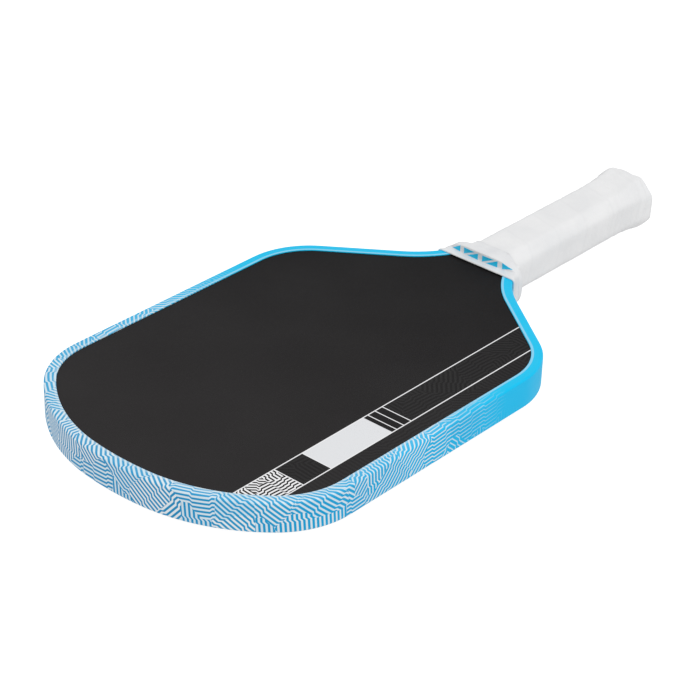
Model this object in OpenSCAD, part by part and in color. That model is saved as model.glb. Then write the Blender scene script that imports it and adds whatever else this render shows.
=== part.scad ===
// Pickleball paddle: a honeycomb sandwich head with a slim tongue running down the handle,
// a U-section edge guard, two handle pallets, a butt cap, a taped grip and a rubber collar.
// Frame: origin at the centre of the butt end, +Y towards the tip, +Z out of the front face.

/* [Overall] */
// Length from the butt end to the tip
paddle_l = 419.1; // [340:1:503]
// Width across the head, over the edge guard
head_w = 190.5; // [158:0.5:229]
// Thickness of the head panel, face to face
panel_t = 16; // [13.3:0.1:19.2]

/* [Head outline] */
// Radius of the flat crown at the very tip
tip_r = 182; // [152:1:220]
// Half angle that the tip arc turns through
tip_turn = 6; // [5:0.5:8]
// Angle at which the corner arc takes over from the crown
corner_turn = 44; // [37:1:50]
// Radius of the two upper corners
corner_r = 48.5; // [40:0.5:58]
// Radius where the straight sides turn into the shoulders
shoulder_r = 44; // [37:0.5:52]
// Slope of the shoulders, away from the handle's axis
shoulder_angle = 53.5; // [45:0.5:60]
// Radius of the hollow throat between shoulder and handle
throat_r = 60.5; // [52:0.5:70]
// Width over the guard where the throat would run parallel to the handle
throat_w = 32.4; // [30:0.1:37]
// How far that narrowest place lies below the tongue's end
throat_drop = 23.5; // [20:0.5:28]

/* [Panel layers] */
// Thickness of each carbon face sheet
sheet_t = 0.8; // [0.6:0.05:1.2]
// Width of the foam that runs round the edge of the core
foam_w = 8; // [6:0.5:12]
// Depth of the foam block that closes the core at the neck
neck_foam_l = 10; // [8:0.5:14]
// Pitch of the honeycomb cells
cell_pitch = 10; // [8:0.5:12]
// Thickness of the honeycomb walls
cell_wall = 0.6; // [0.4:0.1:1]

/* [Edge guard] */
// Thickness of the wall that runs round the panel's edge
guard_web = 1.5; // [1.2:0.1:2]
// Width of the guard in plan, from its outer edge to the open face
guard_lip_w = 6.3; // [5.3:0.1:7.5]
// How far each lip stands above the face
guard_lip_t = 0.6; // [0.5:0.05:1]
// Thickness of the bonding tape under the guard
edge_tape_t = 0.3; // [0.2:0.05:0.4]
// Width of the bonding tape
edge_tape_w = 13; // [11:0.5:13]

/* [Handle] */
// Distance from the butt end to the place where the panel narrows to its tongue
tongue_y = 134; // [112:0.5:161]
// Width of the tongue
tongue_w = 23; // [19:0.5:28]
// Thickness of the pallets over the tongue's faces
pallet_t = 4; // [3.4:0.1:4.8]
// Thickness of the pallets beside the tongue
pallet_side_t = 3.5; // [3:0.1:4.2]
// Thickness of the pallets over the tongue's corners, inside the butt cap
pallet_corner_t = 0.3; // [0.2:0.05:0.5]
// Thickness of the cushioned grip tape
grip_tape_t = 2; // [1.6:0.1:2.2]
// Gap between the grip tape's upper edge and the wide part of the panel
grip_gap = 0.3; // [0.1:0.1:1]
// How far the pallets' ends lie on the wide part of the panel
pallet_lead = 4; // [3:0.5:5]
// Slack between the pallets and the tongue
pallet_slack = 0.05; // [0.03:0.01:0.1]
// Gap between the pallets' ends and the edge guard's lips
lip_gap = 0.3; // [0.2:0.05:0.5]
// Length of the thin finishing tape round the grip's upper end
end_tape_l = 5; // [3:0.5:5.5]
// Thickness of the finishing tape
end_tape_t = 0.2; // [0.1:0.05:0.3]

/* [Butt] */
// Length over which the grip flares out at the butt
flare_l = 28; // [22:1:33]
// Radius of the flare's hollow curve
flare_r = 98; // [82:1:120]
// Share of the flare that the handle's slanted flats follow
flare_corner = 0.6; // [0.5:0.02:0.72]
// Length of the butt cap
cap_l = 26; // [20:0.5:32]
// Thickness of the butt cap's skirt where the flare has not begun
cap_skirt = 1.5; // [1.2:0.1:1.8]
// Thickness of the butt cap's end wall
cap_floor = 3; // [2.4:0.1:4]
// Slack between the butt cap and the pallets
cap_slack = 0.1; // [0.05:0.01:0.15]
// Radius of the blank disc on the butt end
disc_r = 12; // [10:0.1:13]
// Thickness of the disc
disc_t = 0.6; // [0.5:0.05:0.9]
// How far the disc stands out of the butt cap
disc_proud = 0.3; // [0.2:0.05:0.4]
// Distance from the butt end to the edge of the grip tape
tape_start_y = 1.8; // [1:0.1:2.5]
// Length of a staple's crown
staple_w = 8; // [6:0.5:9]
// Thickness of the staple wire
staple_d = 0.7; // [0.5:0.1:0.8]
// Distance from the butt end to the staples
staple_y = 15; // [12:0.5:17]
// How far a staple's legs reach into the pallet
staple_bite = 1.2; // [0.8:0.1:1.5]

/* [Collar] */
// Length of the collar's sleeve behind the tongue's end
collar_sleeve_l = 6; // [5:0.5:10]
// Thickness of the collar's upright wall in front of the pallets
collar_wall_t = 2.2; // [1.5:0.1:3]
// Width of the collar's thick ring, over its sides
collar_w = 51; // [43:0.5:58]
// Length of the ring, back from the upright wall
collar_ring_l = 7; // [6:0.5:8]
// Fullness of the ring's corners, where 2 would be an ellipse
collar_fullness = 3; // [2.6:0.1:3.6]
// Length of the flange that lies on the face in front of the wall
collar_flange_l = 3.6; // [3:0.1:5]
// Thickness of the rubber over the grip
collar_t = 0.8; // [0.6:0.1:1.2]
// Thickness of the rubber over the edge guard
collar_skirt_t = 1; // [0.8:0.1:1.4]
// Gap between two pairs of inlays
inlay_gap = 3; // [2:0.1:4]
// Rubber left below, above and beside the inlays on the upright wall
inlay_margin = 0.3; // [0.2:0.05:0.5]
// Height of the inlays
inlay_h = 3.8; // [3:0.1:4.2]
// Width of the bar of rubber between the two inlays of a pair
inlay_bar = 1.2; // [1:0.1:1.6]
// Depth of the inlays in the rubber
inlay_depth = 0.5; // [0.4:0.1:0.8]

/* [Hidden] */

arc_step = 3;                                   // degrees between points on the outline's arcs
over = 1;                                       // how far cutting solids run past what they cut
half_w = head_w / 2;
half_t = panel_t / 2;
core_t = panel_t - 2 * sheet_t;
lip_z = half_t + guard_lip_t;                   // height of the guard's lips
panel_in = guard_web + edge_tape_t;             // panel edge, in from the paddle's outline
core_in = panel_in + foam_w;
core_y = tongue_y + neck_foam_l;
throat_x = throat_w / 2 + throat_r;             // centre of the throat arc
throat_y = tongue_y - throat_drop;
pallet_y0 = disc_proud + cap_floor;
cap_y1 = disc_proud + cap_l;
pallet_y1 = tongue_y + pallet_lead;
grip_end_y = tongue_y - grip_gap;               // the grip tape's upper edge
cap_in = grip_tape_t;                           // butt cap and pallets, in from the grip's surface
grip_w = tongue_w + 2 * (pallet_side_t + grip_tape_t);
grip_t = panel_t + 2 * (pallet_t + grip_tape_t);
neck_in = grip_tape_t + cap_skirt + cap_slack;  // pallet ends inside the butt cap
collar_z = lip_z + collar_skirt_t;
collar_back_y = tongue_y - collar_sleeve_l;
collar_wall_y = pallet_y1 + collar_wall_t;
collar_front_y = collar_wall_y + collar_flange_l;
collar_out = end_tape_t + collar_t;             // collar's sleeve, out from the grip's surface

// Distance from the handle's axis to its slanted flats, on the grip's surface
corner_d = (tongue_w + panel_t) / (2 * sqrt(2)) + pallet_corner_t + neck_in;

// Inlays on the upright wall, between its flange and its slanted corners
inlay_z = collar_z + inlay_margin;
inlay_top = inlay_z + inlay_h;
inlay_row_half = sqrt(2) * (corner_d + collar_out) - inlay_top - 3 * inlay_margin;
inlay_w = inlay_row_half - inlay_gap / 2;
inlay_pitch = inlay_w + inlay_gap;

// Section of the collar's ring, and the single inlays at the row's two ends
ring_half_t = grip_t / 2 + collar_out;
function ring_top(x) = ring_half_t * pow(1 - pow(2 * x / collar_w, collar_fullness), 1 / collar_fullness);
function ring_side(z) = collar_w / 2 * pow(1 - pow(z / ring_half_t, collar_fullness), 1 / collar_fullness);
end_x = inlay_row_half + inlay_gap;
end_tip = ring_side(inlay_z + 3 * inlay_margin) - 3 * inlay_margin;
end_top = min(inlay_top, ring_top(end_x) - inlay_margin);
reach = 2 * (half_w + paddle_l);                // longer than the paddle in any direction

// Crown radius that joins the tip arc to the corner arcs at this head width
crown_r = (half_w - tip_r * sin(tip_turn) - corner_r * (1 - sin(corner_turn)))
          / (sin(corner_turn) - sin(tip_turn));

// Points on an arc round c from angle a0 to a1, in steps of about arc_step
function arc(c, r, a0, a1) =
    let (n = max(2, ceil(abs(a1 - a0) / arc_step)))
    [for (i = [0:n]) c + r * [cos(a0 + (a1 - a0) * i / n), sin(a0 + (a1 - a0) * i / n)]];

// Centres of the outline's arcs on the +X side
tip_c = [0, paddle_l - tip_r];
crown_c = tip_c + (tip_r - crown_r) * [sin(tip_turn), cos(tip_turn)];
corner_c = crown_c + (crown_r - corner_r) * [sin(corner_turn), cos(corner_turn)];
throat_c = [throat_x, throat_y];
throat_end = throat_c + throat_r * [-cos(shoulder_angle), sin(shoulder_angle)];
shoulder_x = half_w - shoulder_r;
shoulder_run = (shoulder_x + shoulder_r * cos(shoulder_angle) - throat_end[0]) / sin(shoulder_angle);
shoulder_c = [shoulder_x,
              throat_end[1] + shoulder_run * cos(shoulder_angle) + shoulder_r * sin(shoulder_angle)];

// Half width of the paddle's outline in the throat, moved in by inset, at a height y
function throat_half(y, inset) =
    throat_x - sqrt(pow(throat_r + inset, 2) - pow(y - throat_y, 2));

// One side of the outline from the tip down to the neck at y_end, moved in by inset
function side_points(inset, y_end) = concat(
    arc(tip_c, tip_r - inset, 90, 90 - tip_turn),
    arc(crown_c, crown_r - inset, 90 - tip_turn, 90 - corner_turn),
    arc(corner_c, corner_r - inset, 90 - corner_turn, 0),
    arc(shoulder_c, shoulder_r - inset, 0, -shoulder_angle),
    arc(throat_c, throat_r + inset, 180 - shoulder_angle,
        180 - asin((y_end - throat_y) / (throat_r + inset))));

// Half width left for the pallets' ends between the guard's lips at the neck
lead_half = throat_half(tongue_y, guard_lip_w) - lip_gap;

function reversed(p) = [for (i = [len(p) - 1:-1:0]) p[i]];

// Outline of the head, moved in by inset, cut straight across the neck at y_end and then
// carried on at the neck's width by tail, so that it can cut right through
module head_shape(inset, y_end, tail = 0) {
    neck = throat_half(y_end, inset);
    side = concat(side_points(inset, y_end), tail > 0 ? [[neck, y_end - tail]] : []);
    polygon(concat(side, reversed([for (p = side) if (p[0] > 0.001) [-p[0], p[1]]])));
}

// A plate of the head's outline, t thick, in the middle of the panel
module head_plate(inset, y_end, t, tail = 0) {
    linear_extrude(height = t, center = true) head_shape(inset, y_end, tail);
}

// How far the flare stands out at y, on straight runs between flare_steps equal stations
flare_steps = 6;
flare_step = flare_l / flare_steps;
function rise(y) = pow(flare_l - y, 2) / (2 * flare_r);
function flare_at(y) = y >= flare_l ? 0 :
    let (y0 = floor(y / flare_step) * flare_step, share = (y - y0) / flare_step)
    rise(y0) * (1 - share) + rise(y0 + flare_step) * share;

// Corners of the handle's eight-sided section at y, moved in by inset from the grip's surface
function section(inset, y) =
    let (flare = flare_at(y), out = flare - inset, a = grip_w / 2 + out, b = grip_t / 2 + out,
         c = a + b - sqrt(2) * (corner_d + flare * flare_corner - inset))
    [[a - c, y, b], [a, y, b - c], [a, y, c - b], [a - c, y, -b],
     [c - a, y, -b], [-a, y, c - b], [-a, y, b - c], [c - a, y, b]];

// Eight-sided handle bar from y0 to y1, moved in by inset from the grip's surface
module handle_bar(inset, y0, y1) {
    ys = concat([y0], [for (i = [1:flare_steps]) let (y = i * flare_step) if (y > y0 && y < y1) y], [y1]);
    last = 8 * (len(ys) - 1);
    polyhedron(
        points = [for (y = ys) each section(inset, y)],
        faces = concat(
            [[for (i = [0:7]) i], [for (i = [7:-1:0]) last + i]],
            [for (k = [0:len(ys) - 2], i = [0:7])
                let (n = (i + 1) % 8) [8 * k + n, 8 * k + i, 8 * k + 8 + i, 8 * k + 8 + n]]));
}

// Straight eight-sided bar from y0 to y1, as the handle is where the flare has not begun
module straight_bar(inset, y0, y1) {
    shape = [for (p = section(inset, flare_l)) [p[0], p[2]]];
    translate([0, y1, 0]) rotate([90, 0, 0]) linear_extrude(height = y1 - y0) polygon(shape);
}

// A block centred on the axis in X and Z, from y0 to y1
module axis_block(w, t, y0, y1) {
    translate([-w / 2, y0, -t / 2]) cube([w, y1 - y0, t]);
}

// The panel's tongue with slack all round
module tongue_space(slack) {
    axis_block(tongue_w + 2 * slack, panel_t + 2 * slack, 0, tongue_y + slack);
}

// ---- head panel ----

module face_sheet(side) {
    z = side * (half_t - sheet_t / 2);
    color([0.18, 0.17, 0.17]) translate([0, 0, z]) union() {
        head_plate(panel_in, tongue_y, sheet_t);
        axis_block(tongue_w, sheet_t, pallet_y0 + over, tongue_y);
    }
}

module front_face_sheet() face_sheet(1);

module back_face_sheet() face_sheet(-1);

// Centres of the cells whose walls stay clear of the core's edge
cell_row = cell_pitch * sqrt(3) / 2;
cell_rows = ceil(paddle_l / cell_row);
cell_cols = ceil(half_w / cell_pitch);
core_edge = side_points(core_in + cell_pitch * 0.62, core_y + cell_pitch * 0.62);

// True where p lies inside the right-hand side of the outline, counted across its edge
function crossings(p, e) = [for (i = [0:len(e) - 2])
    let (a = e[i], b = e[i + 1])
    if ((a[1] > p[1]) != (b[1] > p[1])
        && a[0] + (p[1] - a[1]) * (b[0] - a[0]) / (b[1] - a[1]) > p[0]) 1];
function in_core(p) = len(crossings([abs(p[0]), p[1]], core_edge)) % 2 == 1
    && p[1] > core_y + cell_pitch * 0.62;

module honeycomb_core() {
    color([0.93, 0.93, 0.9]) linear_extrude(height = core_t, center = true) difference() {
        head_shape(core_in, core_y);
        for (row = [0:cell_rows], col = [-cell_cols:cell_cols]) {
            c = [(col + (row % 2) / 2) * cell_pitch, row * cell_row];
            if (in_core(c)) translate(c) rotate(30)
                circle(r = (cell_pitch - cell_wall) / sqrt(3), $fn = 6);
        }
    }
}

module perimeter_foam() {
    color([0.85, 0.8, 0.62]) difference() {
        head_plate(panel_in, tongue_y, core_t);
        head_plate(core_in, core_y, core_t + over);
    }
}

// ---- edge ----

module edge_tape() {
    color([0.95, 0.95, 0.95]) difference() {
        head_plate(guard_web, tongue_y, edge_tape_w);
        head_plate(panel_in, tongue_y, edge_tape_w + over, over);
    }
}

module edge_guard() {
    color([0.0, 0.7, 0.92]) difference() {
        head_plate(0, tongue_y, 2 * lip_z);
        head_plate(guard_web, tongue_y, panel_t, over);
        head_plate(guard_lip_w, tongue_y, 2 * lip_z + over, over);
    }
}

// ---- handle ----

module handle_foam() {
    color([0.9, 0.86, 0.7]) axis_block(tongue_w, core_t, pallet_y0 + over, tongue_y);
}

// Space that one staple takes on the front of the butt cap
module staple_space() {
    top = grip_t / 2 - cap_in + flare_at(staple_y);
    foot = grip_t / 2 - neck_in - staple_bite;
    translate([-staple_w / 2, staple_y - staple_d / 2, top - 2 * staple_d])
        cube([staple_w, staple_d, staple_d]);
    for (side = [1, -1])
        translate([side * (staple_w - staple_d) / 2 - staple_d / 2, staple_y - staple_d / 2, foot])
            cube([staple_d, staple_d, top - staple_d - foot]);
}

// Way in for the staple's crown, so that it sits under the skirt's surface
module staple_groove() {
    top = grip_t / 2 - cap_in + flare_at(staple_y);
    translate([-staple_w / 2, staple_y - staple_d / 2, top - 2 * staple_d])
        cube([staple_w, staple_d, grip_tape_t + 2 * staple_d]);
}

module both_sides() {
    children();
    rotate([0, 180, 0]) children();
}

// Room beside the pallets' ends for the lips of the edge guard
module lip_space() {
    both_sides() translate([lead_half, grip_end_y, -reach / 2]) cube([reach, paddle_l, reach]);
}

module pallet_shell() {
    difference() {
        union() {
            handle_bar(cap_in, cap_y1 + cap_slack, pallet_y1);
            straight_bar(neck_in, pallet_y0, cap_y1 + over);
        }
        tongue_space(pallet_slack);
        axis_block(reach, panel_t + 2 * pallet_slack, tongue_y - over, paddle_l);
        translate([-reach / 2, -reach / 2, -reach]) cube(reach);
        lip_space();
        staple_space();
    }
}

module pallet_front() {
    color([0.25, 0.25, 0.27]) pallet_shell();
}

module pallet_back() {
    color([0.25, 0.25, 0.27]) rotate([0, 180, 0]) pallet_shell();
}

module butt_cap() {
    color([0.92, 0.92, 0.93]) difference() {
        handle_bar(cap_in, disc_proud, cap_y1);
        straight_bar(neck_in - cap_slack, pallet_y0, cap_y1 + over);
        translate([0, disc_t, 0]) rotate([90, 0, 0]) cylinder(h = disc_t + over, r = disc_r, $fn = 96);
        both_sides() {
            staple_space();
            staple_groove();
        }
    }
}

module butt_cap_staples() {
    color([0.75, 0.75, 0.76]) both_sides() staple_space();
}

module butt_disc() {
    color([0.9, 0.9, 0.91]) translate([0, disc_t, 0]) rotate([90, 0, 0])
        cylinder(h = disc_t, r = disc_r, $fn = 96);
}

// ---- grip ----

module grip_tape() {
    color([0.94, 0.94, 0.94]) difference() {
        handle_bar(0, tape_start_y, grip_end_y);
        handle_bar(grip_tape_t, tape_start_y - over, grip_end_y + over);
    }
}

module grip_finishing_tape() {
    color([0.9, 0.9, 0.9]) difference() {
        handle_bar(-end_tape_t, grip_end_y - end_tape_l, grip_end_y);
        handle_bar(0, grip_end_y - end_tape_l - over, grip_end_y + over);
    }
}

// One pair of inlays, as two right triangles either side of a slanted bar of rubber
module inlay_pair() {
    w = inlay_w - 2 * inlay_bar;
    for (turn = [0, 180]) rotate(turn)
        translate([-inlay_w / 2, -inlay_h / 2]) polygon([[0, 0], [w, 0], [0, inlay_h]]);
}

// The single inlay at one end of the row
module end_inlay(side) {
    corners = [[end_x, inlay_z], [end_tip, inlay_z], [end_x, end_top]];
    polygon(side > 0 ? corners : reversed([for (c = corners) [-c[0], c[1]]]));
}

// The row of inlays on the front of the collar's upright wall
module inlay_row(depth) {
    translate([0, collar_wall_y, 0]) rotate([90, 0, 0]) linear_extrude(height = depth) {
        for (side = [-1, 1]) {
            translate([side * inlay_pitch / 2, inlay_z + inlay_h / 2]) inlay_pair();
            end_inlay(side);
        }
    }
}

// The collar's thick ring, behind its upright wall
module collar_ring() {
    power = 2 / collar_fullness;
    translate([0, collar_wall_y, 0]) rotate([90, 0, 0]) linear_extrude(height = collar_ring_l)
        polygon([for (i = [0:95]) let (c = cos(i * 3.75), s = sin(i * 3.75))
            [collar_w / 2 * sign(c) * pow(abs(c), power), ring_half_t * sign(s) * pow(abs(s), power)]]);
}

module grip_collar() {
    color([0.88, 0.88, 0.89]) difference() {
        union() {
            handle_bar(-collar_out, collar_back_y, collar_wall_y);
            collar_ring();
            intersection() {
                head_plate(-collar_skirt_t, collar_back_y, 2 * collar_z);
                axis_block(reach, reach, collar_back_y, collar_front_y);
            }
        }
        handle_bar(-end_tape_t, collar_back_y - over, grip_end_y);
        handle_bar(cap_in, collar_back_y - over, pallet_y1);
        head_plate(0, tongue_y, 2 * lip_z);
        both_sides() inlay_row(inlay_depth);
    }
}

module collar_inlays() {
    color([0.05, 0.68, 0.87]) both_sides() inlay_row(inlay_depth);
}

front_face_sheet();
back_face_sheet();
honeycomb_core();
perimeter_foam();
edge_tape();
edge_guard();
handle_foam();
pallet_front();
pallet_back();
butt_cap();
butt_cap_staples();
butt_disc();
grip_tape();
grip_finishing_tape();
grip_collar();
collar_inlays();
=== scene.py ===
import math

import bmesh
import bpy
from mathutils import Matrix, Vector, noise


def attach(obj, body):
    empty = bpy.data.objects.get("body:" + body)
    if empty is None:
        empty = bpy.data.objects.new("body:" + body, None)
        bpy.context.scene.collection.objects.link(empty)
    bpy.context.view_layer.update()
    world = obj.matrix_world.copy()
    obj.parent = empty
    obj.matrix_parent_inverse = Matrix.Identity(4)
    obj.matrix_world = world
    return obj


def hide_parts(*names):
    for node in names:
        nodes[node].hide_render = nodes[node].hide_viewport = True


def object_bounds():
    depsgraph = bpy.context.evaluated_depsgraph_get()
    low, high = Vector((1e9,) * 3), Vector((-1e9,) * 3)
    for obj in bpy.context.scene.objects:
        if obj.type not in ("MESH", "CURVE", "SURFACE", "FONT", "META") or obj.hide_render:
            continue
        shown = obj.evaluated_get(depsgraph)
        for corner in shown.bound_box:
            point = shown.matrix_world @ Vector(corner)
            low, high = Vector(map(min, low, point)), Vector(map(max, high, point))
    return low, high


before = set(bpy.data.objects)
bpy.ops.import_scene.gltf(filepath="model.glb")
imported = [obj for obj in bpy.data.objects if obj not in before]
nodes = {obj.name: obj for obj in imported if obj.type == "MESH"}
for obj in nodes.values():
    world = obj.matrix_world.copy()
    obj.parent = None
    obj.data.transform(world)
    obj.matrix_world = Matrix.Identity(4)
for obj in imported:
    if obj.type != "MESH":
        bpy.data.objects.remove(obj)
cad_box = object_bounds()

MM = 0.001

# ---- sizes shared with the solid part, in millimetres ----

paddle_l = cad_box[1].y / MM
half_w = cad_box[1].x / MM
half_t = 8.0
tip_r, tip_turn = 182.0, 6.0
corner_turn, corner_r = 44.0, 48.5
shoulder_r, shoulder_angle = 44.0, 53.5
throat_r, throat_x, throat_y = 60.5, 76.7, 110.5
neck_y = 134.0
guard_web = 1.5
lip_w = 6.3
lip_z = 8.6
guard_round = 1.3
grip_half_w, grip_half_t = 17.0, 14.0
grip_corner = 25.02
grip_end_y = 133.7
grip_wall = 2.0
tape_start_y = 1.8
flare_l, flare_r, flare_corner = 28.0, 98.0, 0.6
collar_back_y, ring_back_y, collar_wall_y, collar_front_y = 128.0, 133.2, 140.2, 143.8
ring_half_w, ring_half_t, ring_fullness, wall_bow = 25.5, 15.0, 3.0, 0.0045
skirt = 1.0
cap_y0, cap_y1 = 0.3, 26.3
disc_r, disc_t = 12.0, 0.6


# Printed strip on the faces: its outer and inner edge in x, and levels along it in y
strip_x0, strip_x1 = -78.4, -59.3
rule_levels = (291.3, 296.8, 302.1, 349.8, 369.4)
block_y0, block_y1, hatch_y0 = 305.5, 349.8, 369.4
rule_half = 0.3

# Distance from the tip, along the guard, over which its print fades out
print_fade_from, print_fade_to = 185.0, 245.0


# ---- mesh helpers ----

def finish_piece(bm, name, material, stands_for, sharp=35.0):
    """Closes off a bmesh as a shaded object that rides on the paddle and stands for its CAD nodes."""
    bmesh.ops.remove_doubles(bm, verts=bm.verts, dist=1e-6)
    bmesh.ops.recalc_face_normals(bm, faces=bm.faces)
    for face in bm.faces:
        face.smooth = True
    for edge in bm.edges:
        if len(edge.link_faces) == 2 and edge.calc_face_angle() > math.radians(sharp):
            edge.smooth = False
    mesh = bpy.data.meshes.new(name)
    bm.to_mesh(mesh)
    bm.free()
    piece = bpy.data.objects.new(name, mesh)
    bpy.context.scene.collection.objects.link(piece)
    mesh.materials.append(material)
    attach(piece, "root")
    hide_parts(*stands_for)
    return piece


def next_row(bm, edges):
    """Extrudes a row of edges once and gives the new row's points and edges."""
    made = bmesh.ops.extrude_edge_only(bm, edges=edges)["geom"]
    verts = [g for g in made if isinstance(g, bmesh.types.BMVert)]
    fresh = set(verts)
    row = [g for g in made if isinstance(g, bmesh.types.BMEdge)
           and g.verts[0] in fresh and g.verts[1] in fresh]
    return verts, row


def tube_round_axis(stations, count, close=True):
    """A tube round the handle's axis. Each station is a height and a function from angle to reach.

    The height is a number, or a function of x where the ring of points isn't flat.
    """
    bm = bmesh.new()
    turn = bm.verts.layers.float.new("turn")
    verts = bmesh.ops.create_circle(bm, segments=count, radius=1.0)["verts"]
    for v in verts:
        v[turn] = math.atan2(v.co.y, v.co.x)
    edges = list(bm.edges)
    first = edges
    for i, (height, reach) in enumerate(stations):
        if i:
            verts, edges = next_row(bm, edges)
        for v in verts:
            out = reach(v[turn])
            x, z = out * math.cos(v[turn]), out * math.sin(v[turn])
            v.co = Vector((x, height(x) if callable(height) else height, z)) * MM
    if close:
        bmesh.ops.bridge_loops(bm, edges=first + edges)
    return bm, turn, first, edges


# ---- sections of the handle, as reach from the axis at an angle ----

def flare(y):
    return (flare_l - y) ** 2 / (2 * flare_r) if y < flare_l else 0.0


def eight_sided(out, softness=26.0, swell=0.0):
    """Reach of the handle's eight-sided section with softened corners, moved out by a distance."""
    a, b = grip_half_w + swell + out, grip_half_t + swell + out
    c = grip_corner + math.sqrt(2) * (flare_corner * swell + out)

    def reach(angle):
        x, z = abs(math.cos(angle)), abs(math.sin(angle))
        total = (x / a) ** softness + (z / b) ** softness + ((x + z) / c) ** softness
        return total ** (-1 / softness)
    return reach


def throat_half(y, out):
    return throat_x - math.sqrt((throat_r - out) ** 2 - (y - throat_y) ** 2)


def neck_section(y, out):
    """Reach of the head's section in the throat, with the guard's rounded corners."""
    a, b, r = throat_half(y, out), lip_z + out, guard_round + out

    def reach(angle):
        x, z = abs(math.cos(angle)), abs(math.sin(angle))
        flat = min(a / max(x, 1e-6), b / max(z, 1e-6))
        cx, cz = a - r, b - r
        if flat * x > cx and flat * z > cz:
            along = x * cx + z * cz
            flat = along + math.sqrt(max(0.0, along ** 2 - cx ** 2 - cz ** 2 + r ** 2))
        return flat
    return reach


def ring_section(out):
    """Reach of the collar ring's full oval."""
    def reach(angle):
        x, z = abs(math.cos(angle)) / (ring_half_w + out), abs(math.sin(angle)) / (ring_half_t + out)
        return (x ** ring_fullness + z ** ring_fullness) ** (-1 / ring_fullness)
    return reach


def larger(one, other, softness=30.0):
    """Reach of two sections run into each other with a small fillet."""
    def reach(angle):
        a, b = one(angle), other(angle)
        top = max(a, b)
        return top * ((a / top) ** softness + (b / top) ** softness) ** (1 / softness)
    return reach


# ---- outline of the head, as moves round its edge ----

def outline_moves():
    """Straight runs and arcs round the head from the neck on +X to the neck on -X."""
    def sine(a):
        return math.sin(math.radians(a))

    def cosine(a):
        return math.cos(math.radians(a))
    crown_r = (half_w - tip_r * sine(tip_turn) - corner_r * (1 - sine(corner_turn))) \
        / (sine(corner_turn) - sine(tip_turn))
    neck_turn = math.degrees(math.asin((neck_y - throat_y) / throat_r))
    end_x = throat_x - throat_r * cosine(shoulder_angle)
    end_y = throat_y + throat_r * sine(shoulder_angle)
    slope = (half_w - shoulder_r + shoulder_r * cosine(shoulder_angle) - end_x) / sine(shoulder_angle)
    side_y0 = end_y + slope * cosine(shoulder_angle) + shoulder_r * sine(shoulder_angle)
    corner_y = paddle_l - tip_r + (tip_r - crown_r) * cosine(tip_turn) \
        + (crown_r - corner_r) * cosine(corner_turn)
    side = [
        ("arc", throat_r, neck_turn - shoulder_angle),
        ("run", slope, 0),
        ("arc", shoulder_r, shoulder_angle),
        ("run", corner_y - side_y0, 0),
        ("arc", corner_r, 90 - corner_turn),
        ("arc", crown_r, corner_turn - tip_turn),
    ]
    start = Vector((throat_x - math.sqrt(throat_r ** 2 - (neck_y - throat_y) ** 2), neck_y, 0))
    heading = math.radians(90 - neck_turn)
    return start, heading, side + [("arc", tip_r, 2 * tip_turn)] + side[::-1]


def carry_round_head(bm, edges, run, step=2.5):
    """Carries a row of edges round the head and notes on each point how far round it lies."""
    place, heading, moves = outline_moves()
    gone = 0.0
    for kind, size, turn in moves:
        length = size if kind == "run" else size * math.radians(abs(turn))
        steps = max(1, math.ceil(length / step))
        for _ in range(steps):
            verts, edges = next_row(bm, edges)
            gone += length / steps
            if kind == "run":
                ahead = Vector((math.cos(heading), math.sin(heading), 0)) * length / steps
                bmesh.ops.translate(bm, verts=verts, vec=ahead * MM)
                place = place + ahead
            else:
                part = math.radians(turn) / steps
                side = 1 if turn > 0 else -1
                centre = place + Vector((-math.sin(heading), math.cos(heading), 0)) * size * side
                spin = Matrix.Rotation(part, 3, "Z")
                bmesh.ops.rotate(bm, verts=verts, cent=centre * MM, matrix=spin)
                place = centre + spin @ (place - centre)
                heading += part
            for v in verts:
                v[run] = gone
    return gone


# ---- shader helpers ----

def put(tree, kind, inputs=None, **settings):
    """Adds a node, applies its settings, and sets or links each named input."""
    node = tree.nodes.new(kind)
    for key, value in settings.items():
        setattr(node, key, value)
    for key, value in (inputs or {}).items():
        if isinstance(value, bpy.types.NodeSocket):
            tree.links.new(value, node.inputs[key])
        else:
            node.inputs[key].default_value = value
    return node


def calc(tree, operation, *values, clamp=False):
    """A Math node's result."""
    node = put(tree, "ShaderNodeMath", dict(enumerate(values)), operation=operation, use_clamp=clamp)
    return node.outputs[0]


def blend_colour(tree, share, first, second, mode="MIX"):
    """A colour Mix node's result."""
    node = put(tree, "ShaderNodeMix", {0: share, 6: first, 7: second}, data_type="RGBA", blend_type=mode)
    return node.outputs[2]


def remap(tree, value, low, high, to_low=0.0, to_high=1.0):
    """A value moved from one range to another and kept inside it."""
    inputs = {"Value": value, "From Min": low, "From Max": high, "To Min": to_low, "To Max": to_high}
    return put(tree, "ShaderNodeMapRange", inputs).outputs[0]


def new_group(name, inputs, outputs):
    """An empty shader group with its named sockets, given as (name, kind, value)."""
    group = bpy.data.node_groups.new(name, "ShaderNodeTree")
    for label, kind, value in inputs:
        socket = group.interface.new_socket(name=label, in_out="INPUT", socket_type=kind)
        if value is not None:
            socket.default_value = value
    for label, kind in outputs:
        group.interface.new_socket(name=label, in_out="OUTPUT", socket_type=kind)
    return group, group.nodes.new("NodeGroupInput"), group.nodes.new("NodeGroupOutput")


def use(tree, group, **inputs):
    """Places a group in a material. Spaces in socket names are written as underscores."""
    node = tree.nodes.new("ShaderNodeGroup")
    node.node_tree = group
    for key, value in inputs.items():
        socket = node.inputs[key.replace("_", " ")]
        if isinstance(value, bpy.types.NodeSocket):
            tree.links.new(value, socket)
        else:
            socket.default_value = value
    return node


FLOAT, VECTOR = "NodeSocketFloat", "NodeSocketVector"


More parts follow.
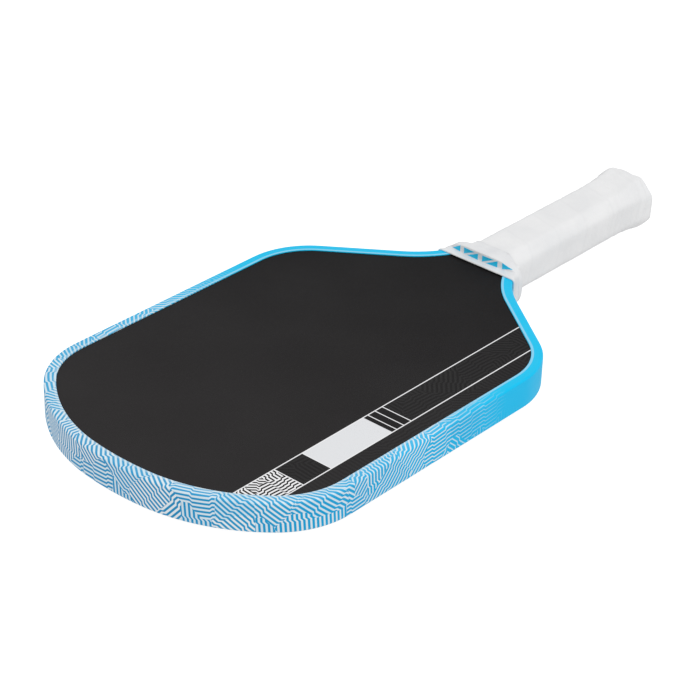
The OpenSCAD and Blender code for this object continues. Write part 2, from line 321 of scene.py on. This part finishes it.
def make_grain():
    """Fine surface grain: a height, and a tone that varies gently at a larger scale."""
    group, given, out = new_group(
        "surface_grain",
        [("Vector", VECTOR, None), ("Grain Size", FLOAT, 0.5), ("Cloud Size", FLOAT, 20.0)],
        [("Height", FLOAT), ("Tone", FLOAT), ("Speckle", FLOAT)])
    grain_scale = calc(group, "DIVIDE", 1000.0, given.outputs["Grain Size"])
    cloud_scale = calc(group, "DIVIDE", 1000.0, given.outputs["Cloud Size"])
    fine = put(group, "ShaderNodeTexNoise",
               {"Vector": given.outputs["Vector"], "Scale": grain_scale, "Detail": 2.0, "Roughness": 0.6})
    cloud = put(group, "ShaderNodeTexNoise",
                {"Vector": given.outputs["Vector"], "Scale": cloud_scale, "Detail": 3.0, "Roughness": 0.5})
    group.links.new(fine.outputs[0], out.inputs["Height"])
    group.links.new(remap(group, cloud.outputs[0], 0.3, 0.7), out.inputs["Tone"])
    group.links.new(remap(group, fine.outputs[0], 0.55, 0.75), out.inputs["Speckle"])
    return group


def make_band():
    """A mask that is 1 where a value lies between two limits."""
    group, given, out = new_group(
        "print_and_highlight_band",
        [("Value", FLOAT, 0.0), ("Low", FLOAT, 0.0), ("High", FLOAT, 1.0), ("Softness", FLOAT, 0.05)],
        [("Mask", FLOAT)])
    value, low, high, soft = (given.outputs[k] for k in ("Value", "Low", "High", "Softness"))
    rise = calc(group, "DIVIDE", calc(group, "SUBTRACT", value, low), soft)
    fall = calc(group, "DIVIDE", calc(group, "SUBTRACT", high, value), soft)
    lowest = calc(group, "MINIMUM", rise, fall)
    group.links.new(calc(group, "ADD", lowest, 0.5, clamp=True), out.inputs["Mask"])
    return group


def make_hatch():
    """Angular patches, each filled with parallel lines that run in its own direction."""
    group, given, out = new_group(
        "patchwork_hatch",
        [("Along", FLOAT, 0.0), ("Across", FLOAT, 0.0), ("Patch Size", FLOAT, 20.0),
         ("Pitch", FLOAT, 2.6), ("Line Share", FLOAT, 0.5)],
        [("Lines", FLOAT), ("Shade", FLOAT), ("Patch", FLOAT)])
    along, across = given.outputs["Along"], given.outputs["Across"]
    place = put(group, "ShaderNodeCombineXYZ",
                {0: calc(group, "DIVIDE", along, given.outputs["Patch Size"]),
                 1: calc(group, "DIVIDE", across, given.outputs["Patch Size"])}).outputs[0]
    cells = put(group, "ShaderNodeTexVoronoi", {"Vector": place, "Scale": 1.0, "Randomness": 0.85},
                voronoi_dimensions="2D", distance="MANHATTAN", feature="F1")
    parts = put(group, "ShaderNodeSeparateColor", {0: cells.outputs["Color"]})
    pick, shift, tone = parts.outputs[0], parts.outputs[1], parts.outputs[2]
    steps = calc(group, "FLOOR", calc(group, "MULTIPLY", pick, 3.999))
    angle = calc(group, "ADD", calc(group, "MULTIPLY", steps, math.radians(45)), math.radians(4))
    slant = calc(group, "ADD",
                 calc(group, "MULTIPLY", along, calc(group, "COSINE", angle)),
                 calc(group, "MULTIPLY", across, calc(group, "SINE", angle)))
    down_line = calc(group, "SUBTRACT",
                     calc(group, "MULTIPLY", across, calc(group, "COSINE", angle)),
                     calc(group, "MULTIPLY", along, calc(group, "SINE", angle)))
    wave = calc(group, "PINGPONG", calc(group, "DIVIDE", down_line, given.outputs["Patch Size"]), 0.5)
    jog = remap(group, wave, 0.22, 0.285, 0.0, 0.5)
    count = calc(group, "ADD", calc(group, "DIVIDE", slant, given.outputs["Pitch"]),
                 calc(group, "ADD", shift, jog))
    saw = calc(group, "FRACT", count)
    tri = calc(group, "ABSOLUTE", calc(group, "SUBTRACT", saw, 0.5))
    half = calc(group, "MULTIPLY", given.outputs["Line Share"], 0.5)
    line = calc(group, "ADD", calc(group, "MULTIPLY", calc(group, "SUBTRACT", half, tri), 12.0), 0.5,
                clamp=True)
    edge = calc(group, "SUBTRACT", 1.0,
                calc(group, "MULTIPLY", calc(group, "ABSOLUTE", calc(group, "SUBTRACT", tri, half)), 9.0),
                clamp=True)
    group.links.new(line, out.inputs["Lines"])
    group.links.new(edge, out.inputs["Shade"])
    group.links.new(tone, out.inputs["Patch"])
    return group


def new_material(name):
    """A material with an empty tree, its Principled shader and its output."""
    material = bpy.data.materials.new(name)
    material.use_nodes = True
    tree = material.node_tree
    tree.nodes.clear()
    shader = tree.nodes.new("ShaderNodeBsdfPrincipled")
    output = tree.nodes.new("ShaderNodeOutputMaterial")
    tree.links.new(shader.outputs[0], output.inputs[0])
    return material, tree, shader


def object_place(tree):
    """The piece's own coordinates in metres, and the same split up in millimetres."""
    coords = put(tree, "ShaderNodeTexCoord").outputs["Object"]
    scaled = put(tree, "ShaderNodeVectorMath", {0: coords, 1: (1000.0, 1000.0, 1000.0)},
                 operation="MULTIPLY").outputs[0]
    split = put(tree, "ShaderNodeSeparateXYZ", {0: scaled})
    return coords, split.outputs[0], split.outputs[1], split.outputs[2]


def bump(tree, height, distance, strength=1.0):
    """A bump normal, with its depth in millimetres."""
    return put(tree, "ShaderNodeBump", {"Height": height, "Distance": distance * MM,
                                        "Strength": strength}).outputs[0]


ROUGH_SWING = 0.08

surface_grain = make_grain()
print_and_highlight_band = make_band()
patchwork_hatch = make_hatch()


def plain_finish(name, dark, light, roughness, grain, cloud, depth):
    """A moulded or foamed surface: two near tones, grain of a given size and depth in millimetres."""
    material, tree, shader = new_material(name)
    coords = put(tree, "ShaderNodeTexCoord").outputs["Object"]
    face = use(tree, surface_grain, Vector=coords, Grain_Size=grain, Cloud_Size=cloud)
    tone = calc(tree, "ADD", calc(tree, "MULTIPLY", face.outputs["Tone"], 0.7),
                calc(tree, "MULTIPLY", face.outputs["Speckle"], 0.3))
    tree.links.new(blend_colour(tree, tone, (*dark, 1), (*light, 1)), shader.inputs["Base Color"])
    rough = remap(tree, face.outputs["Tone"], 0.0, 1.0, roughness - ROUGH_SWING, roughness + ROUGH_SWING)
    tree.links.new(rough, shader.inputs["Roughness"])
    tree.links.new(bump(tree, face.outputs["Height"], depth), shader.inputs["Normal"])
    return material


def face_print():
    """Matte grit face with a printed band of boxes, lines and hatch along one side, on a ground with painted
    shading from the throat to the tip.
    """
    material, tree, shader = new_material("grit_face_print")
    coords, x, y, z = object_place(tree)
    x = calc(tree, "MULTIPLY", x, calc(tree, "SIGN", z))
    grit = use(tree, surface_grain, Vector=coords, Grain_Size=0.45, Cloud_Size=60.0)

    def between(value, low, high, softness=0.12):
        return use(tree, print_and_highlight_band, Value=value, Low=low, High=high, Softness=softness).outputs[0]

    def both(a, b):
        return calc(tree, "MULTIPLY", a, b)

    def either(*masks):
        total = masks[0]
        for mask in masks[1:]:
            total = calc(tree, "MAXIMUM", total, mask)
        return total
    # Painted shading: the ground runs from darker near the throat to lighter towards the tip, standing in for
    # how the light falls along the face.
    reach = remap(tree, y, 150.0, 419.0)
    ground = blend_colour(tree, reach, (0.0048, 0.0040, 0.0045, 1), (0.0215, 0.0195, 0.0200, 1))
    ground = blend_colour(tree, calc(tree, "MULTIPLY", grit.outputs["Speckle"], 0.35), ground,
                          (0.045, 0.043, 0.044, 1))
    strip = between(x, strip_x0, strip_x1)
    dark_hatch = use(tree, patchwork_hatch, Along=y, Across=x, Patch_Size=24.0, Pitch=2.4, Line_Share=0.5)
    outer = between(x, -200.0, strip_x0)
    faint = both(dark_hatch.outputs["Lines"], either(both(strip, between(y, 0.0, rule_levels[0])), outer,
                                                     both(strip, between(y, block_y1, hatch_y0))))
    ground = blend_colour(tree, both(strip, 0.55), ground, (0.0065, 0.0060, 0.0063, 1))
    ground = blend_colour(tree, both(faint, 0.5), ground, (0.030, 0.029, 0.0295, 1))
    white_hatch = use(tree, patchwork_hatch, Along=y, Across=x, Patch_Size=13.0, Pitch=2.1, Line_Share=0.5)
    tip_zone = both(strip, between(y, hatch_y0, 500.0))
    lines = [between(x, -59.62, -58.98), between(x, -78.72, -78.08)]
    for level in rule_levels:
        lines.append(both(strip, between(y, level - rule_half, level + rule_half)))
    white = either(*lines, both(tip_zone, white_hatch.outputs["Lines"]))
    colour = blend_colour(tree, both(strip, between(y, block_y0, block_y1)), ground, (0.80, 0.81, 0.83, 1))
    colour = blend_colour(tree, white, colour, (0.94, 0.94, 0.95, 1))
    tree.links.new(colour, shader.inputs["Base Color"])
    tree.links.new(remap(tree, grit.outputs["Tone"], 0.0, 1.0, 0.62, 0.74), shader.inputs["Roughness"])
    tree.links.new(bump(tree, grit.outputs["Height"], 0.09), shader.inputs["Normal"])
    shader.inputs["Specular IOR Level"].default_value = 0.16
    return material


def guard_print(total_run):
    """Glossy guard: solid colour by the handle, with patches of line hatch fading in round the tip, and a
    painted highlight along the lip's inner edge.
    """
    material, tree, shader = new_material("printed_edge_guard")
    wrap = put(tree, "ShaderNodeUVMap", uv_map="wrap").outputs[0]
    split = put(tree, "ShaderNodeSeparateXYZ", {0: wrap})
    run = calc(tree, "MULTIPLY", split.outputs[0], 1000.0)
    around = calc(tree, "MULTIPLY", split.outputs[1], 1000.0)
    from_tip = calc(tree, "ABSOLUTE", calc(tree, "SUBTRACT", run, total_run / 2))
    blue_share = remap(tree, from_tip, 70.0, 235.0, 0.50, 0.74)
    hatch = use(tree, patchwork_hatch, Along=run, Across=around, Patch_Size=20.0, Pitch=2.25,
                Line_Share=blue_share)
    patch = hatch.outputs["Patch"]
    fade = remap(tree, from_tip, print_fade_from, print_fade_to, 1.0, 0.0)
    height = calc(tree, "ABSOLUTE", around)
    on_lip = remap(tree, height, 6.5, 10.5)
    blue = blend_colour(tree, remap(tree, from_tip, 40.0, 170.0), (0.0, 0.29, 0.60, 1), (0.0, 0.52, 0.90, 1))
    blue = blend_colour(tree, calc(tree, "MULTIPLY", patch, 0.5), blue, (0.0, 0.35, 0.70, 1))
    pale = blend_colour(tree, patch, (0.90, 0.95, 0.98, 1), (0.68, 0.85, 0.96, 1))
    shade = calc(tree, "MULTIPLY", hatch.outputs["Shade"], 0.12)
    drawn = blend_colour(tree, hatch.outputs["Lines"], pale, blue)
    drawn = blend_colour(tree, shade, drawn, (0.30, 0.33, 0.36, 1))
    drawn = blend_colour(tree, calc(tree, "MULTIPLY", on_lip, 0.20), drawn, (0.30, 0.70, 0.92, 1))
    solid = blend_colour(tree, on_lip, (0.0, 0.56, 0.94, 1), (0.0, 0.58, 0.92, 1))
    colour = blend_colour(tree, fade, solid, drawn)
    # Painted highlight: a pale line along the rounded inner edge of the lip, where it meets the face.
    rim = use(tree, print_and_highlight_band, Value=height, Low=12.9, High=14.2, Softness=0.3).outputs[0]
    colour = blend_colour(tree, calc(tree, "MULTIPLY", rim, 0.35), colour, (0.75, 0.86, 0.92, 1))
    tree.links.new(colour, shader.inputs["Base Color"])
    coords = put(tree, "ShaderNodeTexCoord").outputs["Object"]
    grain = use(tree, surface_grain, Vector=coords, Grain_Size=0.6, Cloud_Size=14.0)
    tree.links.new(remap(tree, grain.outputs["Tone"], 0.0, 1.0, 0.36, 0.48), shader.inputs["Roughness"])
    tree.links.new(bump(tree, grain.outputs["Height"], 0.012), shader.inputs["Normal"])
    shader.inputs["Specular IOR Level"].default_value = 0.2
    return material


def wound_tape():
    """Smooth synthetic leather tape: fine pores, and grey painted shade in the seams between its turns."""
    material, tree, shader = new_material("wound_grip_tape")
    coords = put(tree, "ShaderNodeTexCoord").outputs["Object"]
    painted_seam_shade = put(tree, "ShaderNodeAttribute", attribute_name="painted_seam_shade").outputs["Fac"]
    skin = use(tree, surface_grain, Vector=coords, Grain_Size=0.7, Cloud_Size=18.0)
    pores = put(tree, "ShaderNodeTexVoronoi", {"Vector": coords, "Scale": 1100.0}, feature="F1")
    base = blend_colour(tree, skin.outputs["Tone"], (0.84, 0.845, 0.855, 1), (0.90, 0.90, 0.905, 1))
    # Painted shade: the base is greyed along the tape's seams, where shade falls between its turns.
    base = blend_colour(tree, calc(tree, "MULTIPLY", painted_seam_shade, 0.08), base, (0.60, 0.61, 0.64, 1))
    tree.links.new(base, shader.inputs["Base Color"])
    tree.links.new(remap(tree, skin.outputs["Tone"], 0.0, 1.0, 0.42, 0.56), shader.inputs["Roughness"])
    creases = put(tree, "ShaderNodeTexNoise",
                  {"Vector": put(tree, "ShaderNodeMapping", {"Vector": coords, "Scale": (60.0, 260.0, 60.0)})
                   .outputs[0], "Scale": 1.0, "Detail": 3.0, "Roughness": 0.55})
    fine = calc(tree, "ADD", calc(tree, "MULTIPLY", pores.outputs["Distance"], 0.05),
                calc(tree, "MULTIPLY", creases.outputs[0], 0.30))
    tree.links.new(bump(tree, fine, 0.5), shader.inputs["Normal"])
    return material


def collar_rubber():
    """Off-white moulded rubber with a fine matt skin."""
    material, tree, shader = new_material("moulded_collar")
    coords = put(tree, "ShaderNodeTexCoord").outputs["Object"]
    skin = use(tree, surface_grain, Vector=coords, Grain_Size=0.5, Cloud_Size=9.0)
    base = blend_colour(tree, skin.outputs["Tone"], (0.78, 0.79, 0.81, 1), (0.86, 0.865, 0.875, 1))
    tree.links.new(base, shader.inputs["Base Color"])
    tree.links.new(remap(tree, skin.outputs["Tone"], 0.0, 1.0, 0.48, 0.60), shader.inputs["Roughness"])
    tree.links.new(bump(tree, skin.outputs["Height"], 0.03), shader.inputs["Normal"])
    return material


def brushed_wire():
    """Bright staple wire, drawn along its length."""
    material, tree, shader = new_material("staple_wire")
    coords = put(tree, "ShaderNodeTexCoord").outputs["Object"]
    along_wire = (300.0, 4000.0, 4000.0)
    stretched = put(tree, "ShaderNodeMapping", {"Vector": coords, "Scale": along_wire}).outputs[0]
    lines = put(tree, "ShaderNodeTexNoise", {"Vector": stretched, "Scale": 1.0, "Detail": 2.0})
    tree.links.new(blend_colour(tree, lines.outputs[0], (0.50, 0.50, 0.51, 1), (0.72, 0.72, 0.73, 1)),
                   shader.inputs["Base Color"])
    tree.links.new(remap(tree, lines.outputs[0], 0.3, 0.7, 0.25, 0.42), shader.inputs["Roughness"])
    shader.inputs["Metallic"].default_value = 1.0
    return material


def turned_disc():
    """Satin disc with fine rings from turning."""
    material, tree, shader = new_material("blank_disc")
    coords, x, _, z = object_place(tree)
    squares = calc(tree, "ADD", calc(tree, "MULTIPLY", x, x), calc(tree, "MULTIPLY", z, z))
    radius = calc(tree, "SQRT", squares)
    rings = calc(tree, "SINE", calc(tree, "MULTIPLY", radius, 14.0))
    skin = use(tree, surface_grain, Vector=coords, Grain_Size=0.5, Cloud_Size=8.0)
    tree.links.new(blend_colour(tree, skin.outputs["Tone"], (0.66, 0.67, 0.69, 1), (0.74, 0.745, 0.76, 1)),
                   shader.inputs["Base Color"])
    tree.links.new(remap(tree, skin.outputs["Tone"], 0.0, 1.0, 0.30, 0.42), shader.inputs["Roughness"])
    tree.links.new(bump(tree, rings, 0.01), shader.inputs["Normal"])
    return material


# ---- finishes of the inner pieces and the panel ----

def dress(node, material):
    """Gives a CAD node its finish."""
    slots = nodes[node].material_slots
    if not slots:
        nodes[node].data.materials.append(material)
    for slot in nodes[node].material_slots:
        slot.material = material


grit_face = face_print()
for sheet in ("front_face_sheet", "back_face_sheet"):
    dress(sheet, grit_face)
core = plain_finish("core_polymer", (0.66, 0.66, 0.62), (0.80, 0.80, 0.76), 0.55, 0.8, 15, 0.05)
dress("honeycomb_core", core)
foam = plain_finish("edge_foam", (0.58, 0.52, 0.38), (0.72, 0.67, 0.52), 0.85, 0.9, 6, 0.25)
dress("perimeter_foam", foam)
dress("handle_foam", foam)
tape = plain_finish("bond_tape", (0.72, 0.72, 0.74), (0.82, 0.82, 0.83), 0.45, 1.2, 12, 0.03)
dress("edge_tape", tape)
dress("grip_finishing_tape", tape)
pallet = plain_finish("pallet_plastic", (0.035, 0.035, 0.038), (0.06, 0.06, 0.065), 0.5, 0.5, 10, 0.04)
dress("pallet_front", pallet)
dress("pallet_back", pallet)
dress("butt_cap_staples", brushed_wire())


# ---- edge guard ----

def guard_profile():
    """Inset from the outline and height of each point round the guard's section."""
    arc = [(guard_round - guard_round * math.sin(math.radians(a)),
            lip_z - guard_round + guard_round * math.cos(math.radians(a))) for a in range(0, 91, 9)]
    rim = [(lip_w, half_t), (lip_w, lip_z - 0.22), (lip_w - 0.07, lip_z - 0.07), (lip_w - 0.22, lip_z)]
    upper = [(guard_web, 0.0), (guard_web, half_t)] + rim + [(lip_w - 1.0, lip_z)] + arc
    return upper + [(0.0, 2.8), (0.0, 0.0), (0.0, -2.8)] + [(i, -h) for i, h in reversed(upper)]


def build_guard():
    bm = bmesh.new()
    run = bm.verts.layers.float.new("run")
    around = bm.verts.layers.float.new("around")
    place, heading, _ = outline_moves()
    inward = Vector((-math.sin(heading), math.cos(heading), 0))
    profile = guard_profile()
    middle = profile.index((0.0, 0.0))
    lengths = [0.0]
    for (a, b), (c, d) in zip(profile, profile[1:]):
        lengths.append(lengths[-1] + math.hypot(c - a, d - b))
    verts = []
    for (inset, height), gone in zip(profile, lengths):
        v = bm.verts.new((place + inward * inset + Vector((0, 0, height))) * MM)
        v[around] = lengths[middle] - gone
        verts.append(v)
    edges = [bm.edges.new(pair) for pair in zip(verts, verts[1:])]
    total = carry_round_head(bm, edges, run)
    wrap = bm.loops.layers.uv.new("wrap")
    for face in bm.faces:
        for loop in face.loops:
            loop[wrap].uv = (loop.vert[run] * MM, loop.vert[around] * MM)
    bmesh.ops.remove_doubles(bm, verts=bm.verts, dist=1e-6)
    everything = bm.verts[:] + bm.edges[:] + bm.faces[:]
    bmesh.ops.bisect_plane(bm, geom=everything, plane_co=(0, neck_y * MM, 0), plane_no=(0, -1, 0),
                           clear_outer=True)
    open_edges = [e for e in bm.edges if e.is_boundary]
    bmesh.ops.holes_fill(bm, edges=open_edges)
    return finish_piece(bm, "edge_guard_strip", guard_print(total), ["edge_guard"])


build_guard()


# ---- grip ----

tape_pitch = 25.5
lap_edge = 0.9


def lap_distance(angle, y):
    """Distance along the handle from the nearest edge of the wound tape."""
    phase = (y - tape_pitch * angle / (2 * math.pi)) / tape_pitch
    return (phase - math.floor(phase + 0.5)) * tape_pitch


def tape_surface(y, inset=0.0):
    """Reach of the wound tape at a height: its seams dip, and each turn lifts over the last."""
    section = eight_sided(-inset, swell=flare(y))

    def reach(angle):
        d = lap_distance(angle, y)
        dip = -0.03 * math.exp(-(d / lap_edge) ** 2)
        lift = 0.09 * math.exp(-d / 6.0) if d > 0 else 0.09 * math.exp(d / 1.2)
        spot = Vector((math.cos(angle) * 1.3, y * 0.06, math.sin(angle) * 1.3))
        near_butt = 0.35 + 0.65 * max(0.0, 1 - y / 45)
        turn_share = 2 * math.pi * y / tape_pitch - angle
        fold = Vector((0.9 * math.cos(turn_share), 0.9 * math.sin(turn_share), y * 0.05))
        crumple = near_butt * (0.3 * noise.noise(spot * 2.2) + 0.7 * noise.noise(fold * 2.2))
        return section(angle) - 0.5 + dip + lift + min(crumple, 0.4)
    return reach


def build_grip():
    stations = [(tape_start_y + 0.9, eight_sided(-grip_wall, swell=flare(tape_start_y))),
                (tape_start_y + 0.1, tape_surface(tape_start_y, 0.9)),
                (tape_start_y, tape_surface(tape_start_y, 0.55)),
                (tape_start_y + 0.15, tape_surface(tape_start_y + 0.15, 0.2))]
    y = tape_start_y + 0.6
    while y < grip_end_y - 0.4:
        stations.append((y, tape_surface(y)))
        y += 0.8
    stations.append((grip_end_y, tape_surface(grip_end_y, 0.4)))
    stations.append((grip_end_y, eight_sided(-grip_wall)))
    for y in (100.0, 60.0, flare_l, 18.0, 9.0):
        stations.append((y, eight_sided(-grip_wall, swell=flare(y))))
    bm, turn, _, _ = tube_round_axis(stations, 144)
    # Closeness to the tape's seams, kept on the points for the painted seam shade in the tape's material.
    painted_seam_shade = bm.verts.layers.float.new("painted_seam_shade")
    for v in bm.verts:
        v[painted_seam_shade] = math.exp(-(lap_distance(v[turn], v.co.y / MM) / 0.8) ** 2)
    return finish_piece(bm, "wound_grip", wound_tape(), ["grip_tape"], sharp=60)


build_grip()


# ---- collar ----

def bowed(y, share=1.0):
    """Height of the collar's front wall, which falls back towards the ends of the ring."""
    return lambda x: y - share * wall_bow * x * x


def build_collar():
    """Thin sleeve over the grip's end, the thick ring, and the skirt round the neck of the head."""
    def sleeve(y, out):
        return larger(eight_sided(out, softness=34.0), neck_section(y, skirt + min(0.0, out - 1.0)))
    stations = []
    for ahead, out in ((0.0, 0.0), (0.08, 0.12), (0.6, 0.2), (1.4, 0.3), (2.2, 0.4), (3.0, 0.5),
                       (4.0, 0.55), (5.0, 0.6)):
        stations.append((collar_back_y + ahead, sleeve(collar_back_y + ahead, out)))
    for ahead, out in ((0.0, -2.2), (0.02, -1.2), (0.12, -0.6), (0.35, -0.22), (0.7, -0.05), (1.2, 0.0)):
        y = ring_back_y + ahead
        ring = larger(ring_section(out), eight_sided(0.6, softness=34.0), softness=90.0)
        stations.append((y, larger(ring, neck_section(y, skirt))))
    for back, share, out in ((4.4, 0.15, 0.0), (3.0, 0.45, 0.0), (1.8, 0.75, 0.0), (0.9, 0.93, 0.0),
                             (0.5, 1.0, -0.06), (0.22, 1.0, -0.22), (0.06, 1.0, -0.5), (0.0, 1.0, -0.9),
                             (0.0, 1.0, -2.6)):
        y = collar_wall_y - back
        stations.append((bowed(y, share), larger(ring_section(out), neck_section(y, skirt))))
    foot = larger(ring_section(-6.6), neck_section(collar_wall_y, skirt + 0.3))
    stations.append((bowed(collar_wall_y), foot))
    for ahead in (0.5, 1.4, 2.4):
        y = collar_wall_y + ahead
        stations.append((y, neck_section(y, skirt)))
    for back, out in ((0.5, 0.0), (0.2, -0.12), (0.0, -0.45), (0.0, -0.8)):
        y = collar_front_y - back
        stations.append((y, neck_section(y, skirt + out)))
    for y in (collar_front_y - 1.0, 139.0, neck_y + 0.3):
        stations.append((y, neck_section(y, 0.05)))
    stations.append((neck_y + 0.1, eight_sided(-0.1)))
    stations.append((collar_back_y + 0.1, eight_sided(-0.1)))
    bm = tube_round_axis(stations, 288)[0]
    return finish_piece(bm, "throat_collar", collar_rubber(), ["grip_collar"], sharp=50)


build_collar()


# ---- inlays ----

def build_inlays():
    """Rounded copies of the triangular inlays, standing a hair proud of the collar's bowed wall."""
    bm = bmesh.new()
    bm.from_mesh(nodes["collar_inlays"].data)
    bmesh.ops.remove_doubles(bm, verts=bm.verts, dist=1e-6)
    bmesh.ops.dissolve_limit(bm, angle_limit=math.radians(1), verts=bm.verts, edges=bm.edges)
    front = [v for v in bm.verts if v.co.y > (collar_wall_y - 0.1) * MM]
    bmesh.ops.translate(bm, verts=front, vec=(0, 0.18 * MM, 0))
    for v in bm.verts:
        v.co.y -= wall_bow * v.co.x ** 2 / MM
        if v.co.x * v.co.z < 0 and abs(v.co.x) > 19.5 * MM:
            v.co.z += math.copysign(1.5 * MM, v.co.z)
    in_front = set(front)
    rounded = [e for e in bm.edges if all(v in in_front for v in e.verts)]
    bmesh.ops.bevel(bm, geom=rounded, offset=0.16 * MM, offset_type="OFFSET", segments=3, profile=0.5,
                    affect="EDGES", material=-1)
    finish = plain_finish("inlay_rubber", (0.0, 0.52, 0.84), (0.01, 0.60, 0.92), 0.45, 0.5, 6, 0.03)
    return finish_piece(bm, "collar_triangles", finish, ["collar_inlays"])


build_inlays()


# ---- butt ----

def build_butt_cap():
    def rim(y, inset):
        return (y, eight_sided(-grip_wall - inset, swell=flare(y)))
    stations = [(cap_y0 + 1.2, lambda a: disc_r + 0.15), (cap_y0 + 0.12, lambda a: disc_r + 0.15),
                (cap_y0, lambda a: disc_r + 0.3), rim(cap_y0, 1.0), rim(cap_y0 + 0.12, 0.35),
                rim(cap_y0 + 0.45, 0.06)]
    for y in (1.2, 2.5, 5.0, 8.0, 12.0, 16.0, 20.0, 24.0, cap_y1):
        stations.append(rim(y, 0.0))
    stations.append((cap_y1, eight_sided(-3.5)))
    stations.append((3.4, eight_sided(-3.5)))
    stations.append((3.2, lambda a: 4.0))
    bm, _, first, last = tube_round_axis(stations, 144, close=False)
    bmesh.ops.holes_fill(bm, edges=first)
    bmesh.ops.holes_fill(bm, edges=last)
    finish = plain_finish("cap_plastic", (0.74, 0.745, 0.76), (0.80, 0.805, 0.815), 0.38, 0.6, 9, 0.02)
    return finish_piece(bm, "butt_cap_moulding", finish, ["butt_cap"])


def build_butt_disc():
    stations = [(disc_t, lambda a: disc_r)]
    for y, inset in ((0.25, 0.0), (0.1, 0.05), (0.02, 0.18), (0.0, 0.4), (0.0, 2.2), (0.1, 2.4), (0.1, 3.0),
                     (0.0, 3.2), (0.0, 7.0)):
        stations.append((y, lambda a, inset=inset: disc_r - inset))
    bm, _, first, last = tube_round_axis(stations, 96, close=False)
    bmesh.ops.holes_fill(bm, edges=first)
    bmesh.ops.holes_fill(bm, edges=last)
    return finish_piece(bm, "butt_medallion", turned_disc(), ["butt_disc"])


build_butt_cap()
build_butt_disc()


# ---- floor, light and camera ----

def build_floor():
    bm = bmesh.new()
    bmesh.ops.create_grid(bm, x_segments=2, y_segments=2, size=6.0)
    bmesh.ops.translate(bm, verts=bm.verts, vec=(0, 0, cad_box[0].z - 0.0005))
    mesh = bpy.data.meshes.new("studio_floor")
    bm.to_mesh(mesh)
    bm.free()
    floor = bpy.data.objects.new("studio_floor", mesh)
    bpy.context.scene.collection.objects.link(floor)
    # The paper looks white to the camera and throws less light up at the paddle's underside
    paper = plain_finish("floor_paper", (0.33, 0.33, 0.33), (0.35, 0.35, 0.35), 0.9, 2, 400, 0.0)
    glow = next(n for n in paper.node_tree.nodes if n.type == "BSDF_PRINCIPLED")
    glow.inputs["Emission Color"].default_value = (1, 1, 1, 1)
    tree = paper.node_tree
    seen = put(tree, "ShaderNodeLightPath").outputs["Is Camera Ray"]
    tree.links.new(remap(tree, seen, 0.0, 1.0, 0.42, 0.95), glow.inputs["Emission Strength"])
    mesh.materials.append(paper)


def area_light(name, place, aim, size, power):
    light = bpy.data.lights.new(name, "AREA")
    light.shape = "RECTANGLE"
    light.size, light.size_y = size
    light.energy = power
    lamp = bpy.data.objects.new(name, light)
    bpy.context.scene.collection.objects.link(lamp)
    lamp.location = place
    lamp.rotation_euler = (Vector(aim) - Vector(place)).to_track_quat("-Z", "Y").to_euler()


def build_camera():
    lens = bpy.data.cameras.new("studio_camera")
    lens.sensor_width = 36.0
    lens.lens = 116.6
    lens.clip_start, lens.clip_end = 0.05, 50.0
    camera = bpy.data.objects.new("studio_camera", lens)
    bpy.context.scene.collection.objects.link(camera)
    right, up, back = (-0.74768, -0.66355, 0.02603), (0.35278, -0.36369, 0.86213), (-0.5626, 0.65378, 0.50601)
    place = (-0.6696, 1.0261, 0.6003)
    rows = [(right[i], up[i], back[i], place[i]) for i in range(3)]
    camera.matrix_world = Matrix(rows + [(0, 0, 0, 1)])
    bpy.context.scene.camera = camera


build_floor()
area_light("key_softbox", (-0.75, 0.40, 1.5), (0, 0.15, 0), (1.5, 1.5), 9.5)
world = bpy.data.worlds.new("studio_light")
world.use_nodes = True
world.node_tree.nodes["Background"].inputs[0].default_value = (1.0, 1.0, 1.0, 1)
world.node_tree.nodes["Background"].inputs[1].default_value = 0.70
bpy.context.scene.world = world
bpy.context.scene.view_settings.view_transform = "Standard"
build_camera()
